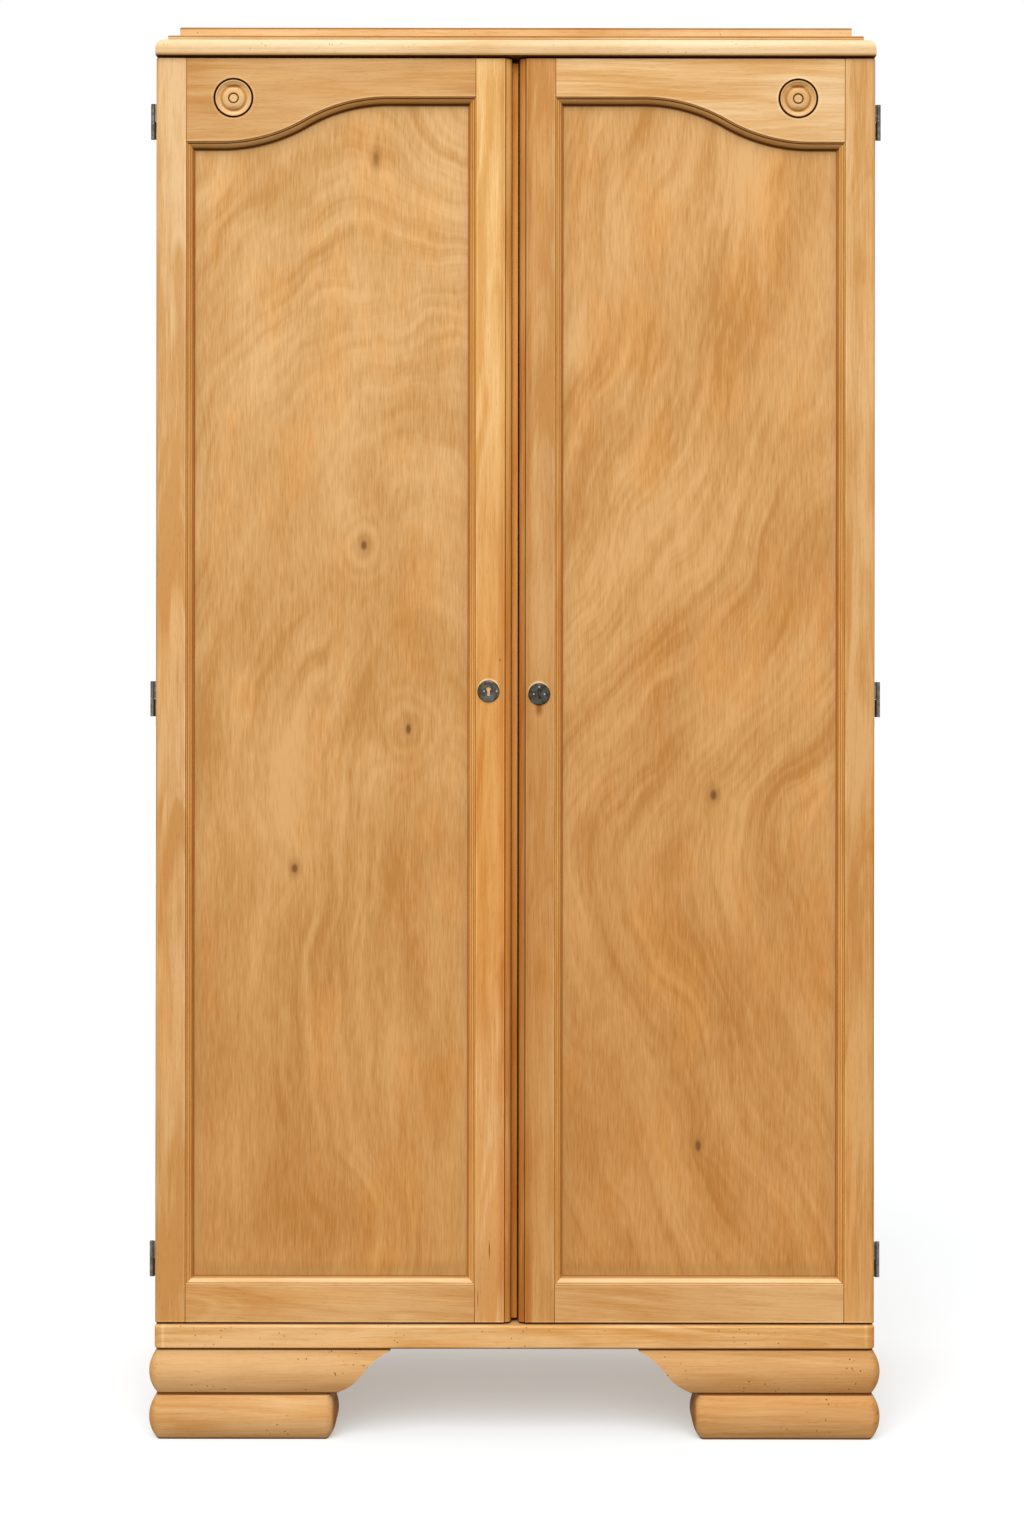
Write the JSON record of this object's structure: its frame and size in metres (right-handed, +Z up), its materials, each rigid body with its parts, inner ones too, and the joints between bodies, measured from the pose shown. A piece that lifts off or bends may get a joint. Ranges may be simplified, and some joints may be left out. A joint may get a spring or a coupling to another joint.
{
  "type": "wardrobe",
  "caption": "Free-standing double-door wardrobe with a stepped cornice, framed plywood doors, turned rosettes and rolled bracket feet; hat shelf and hanging rail inside.",
  "frame": {"origin": "on the floor under the middle of the wardrobe", "axes": "+X to the right as seen from the front, +Y from the doors to the back, +Z up"},
  "size_m": [0.9342, 0.46, 1.8],
  "materials": {
    "frame_wood": "bare sanded birch-like wood",
    "panel_plywood": "bare sanded plywood face",
    "carcass_wood": "bare sanded softwood",
    "back_plywood": "plain plywood",
    "rail_wood": "turned hardwood dowel",
    "strip_wood": "darker wood strip",
    "hinge_steel": "dull grey steel",
    "screw_steel": "dull steel",
    "escutcheon_steel": "dark worn steel with a polished rim",
    "tack_steel": "bright steel",
    "lock_steel": "dull grey steel"
  },
  "bodies": {
    "carcass": {"left_front_foot": "frame_wood", "right_front_foot": "frame_wood", "left_rear_foot": "frame_wood", "right_rear_foot": "frame_wood", "left_bracket": "frame_wood", "right_bracket": "frame_wood", "left_side_roll": "frame_wood", "right_side_roll": "frame_wood", "plinth_front_rail": "frame_wood", "left_plinth_rail": "frame_wood", "right_plinth_rail": "frame_wood", "plinth_back_rail": "carcass_wood", "glue_blocks": "carcass_wood", "cornice_board": "frame_wood", "cornice_lower_step": "frame_wood", "cornice_upper_step": "frame_wood", "left_side_panel": "carcass_wood", "right_side_panel": "carcass_wood", "bottom_board": "carcass_wood", "top_board": "carcass_wood", "back_panel": "back_plywood", "hat_shelf": "carcass_wood", "shelf_cleats": "carcass_wood", "rail_sockets": "hinge_steel", "hanging_rail": "rail_wood", "carcass_hinge_leaves": "hinge_steel", "hinge_pins": "hinge_steel", "carcass_screws": "screw_steel"},
    "left_door": {"left_hinge_stile": "frame_wood", "left_meeting_stile": "frame_wood", "left_top_rail": "frame_wood", "left_bottom_rail": "frame_wood", "left_panel": "panel_plywood", "left_side_beads": "frame_wood", "left_top_bead": "frame_wood", "left_bottom_bead": "frame_wood", "left_rosette": "frame_wood", "left_escutcheon": "escutcheon_steel", "left_escutcheon_tacks": "tack_steel", "left_door_hinge_leaves": "hinge_steel", "left_door_screws": "screw_steel", "closing_strip": "strip_wood", "bolt_guides": "lock_steel"},
    "left_top_bolt": {"left_top_bolt": "lock_steel"},
    "left_bottom_bolt": {"left_bottom_bolt": "lock_steel"},
    "right_door": {"right_hinge_stile": "frame_wood", "right_meeting_stile": "frame_wood", "right_top_rail": "frame_wood", "right_bottom_rail": "frame_wood", "right_panel": "panel_plywood", "right_side_beads": "frame_wood", "right_top_bead": "frame_wood", "right_bottom_bead": "frame_wood", "right_rosette": "frame_wood", "right_escutcheon": "escutcheon_steel", "right_escutcheon_tacks": "tack_steel", "right_door_hinge_leaves": "hinge_steel", "right_door_screws": "screw_steel", "lock_case": "lock_steel"},
    "lock_bolt": {"lock_bolt": "lock_steel"}
  },
  "joints": [
    {"name": "left_door_hinge", "type": "hinge", "parent": "carcass", "child": "left_door", "pos_m": [-0.464, -0.19525, 0.951], "axis": [0, 0, -1], "range_deg": [0, 180]},
    {"name": "right_door_hinge", "type": "hinge", "parent": "carcass", "child": "right_door", "pos_m": [0.464, -0.19525, 0.951], "axis": [0, 0, 1], "range_deg": [0, 180]},
    {"name": "lock_bolt_slide", "type": "slide", "parent": "right_door", "child": "lock_bolt", "axis": [-1, 0, 0], "range_m": [0, 0.008]},
    {"name": "top_bolt_slide", "type": "slide", "parent": "left_door", "child": "left_top_bolt", "axis": [0, 0, 1], "range_m": [0, 0.012]},
    {"name": "bottom_bolt_slide", "type": "slide", "parent": "left_door", "child": "left_bottom_bolt", "axis": [0, 0, -1], "range_m": [0, 0.012]}
  ]
}
